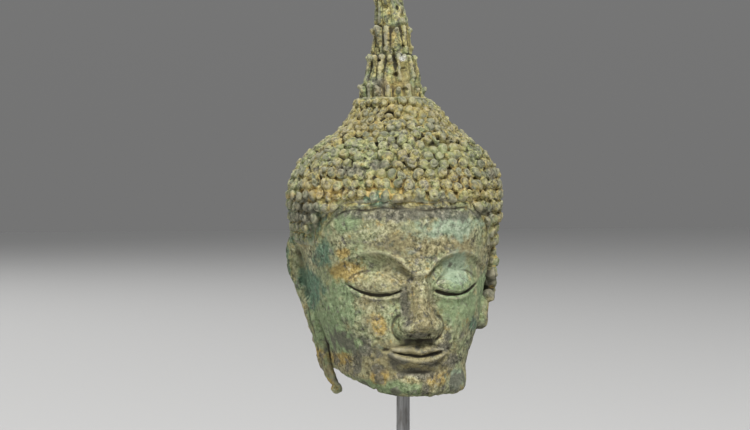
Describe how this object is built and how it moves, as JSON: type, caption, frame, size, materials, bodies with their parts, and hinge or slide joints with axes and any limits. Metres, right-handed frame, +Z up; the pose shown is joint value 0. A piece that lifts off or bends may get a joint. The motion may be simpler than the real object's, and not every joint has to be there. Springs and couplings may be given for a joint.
{
  "type": "bronze buddha head",
  "caption": "Broken hollow-cast bronze head of a Buddha with curled hair, long ears and a flame finial, held up by a steel rod in a square foot.",
  "frame": {"origin": "centre of the foot's underside, on the axis of the rod", "axes": "+Z up along the rod, the face looks along -Y, +X is towards the head's own left ear"},
  "size_m": [0.1311, 0.1567, 0.365],
  "materials": {
    "bronze": "corroded bronze, matt and pitted, green and blue-green patina with ochre earth",
    "steel": "darkened steel, satin",
    "wood": "black lacquered wood, satin"
  },
  "bodies": {
    "root": {"head": "bronze", "rod": "steel", "foot": "wood"}
  },
  "joints": []
}
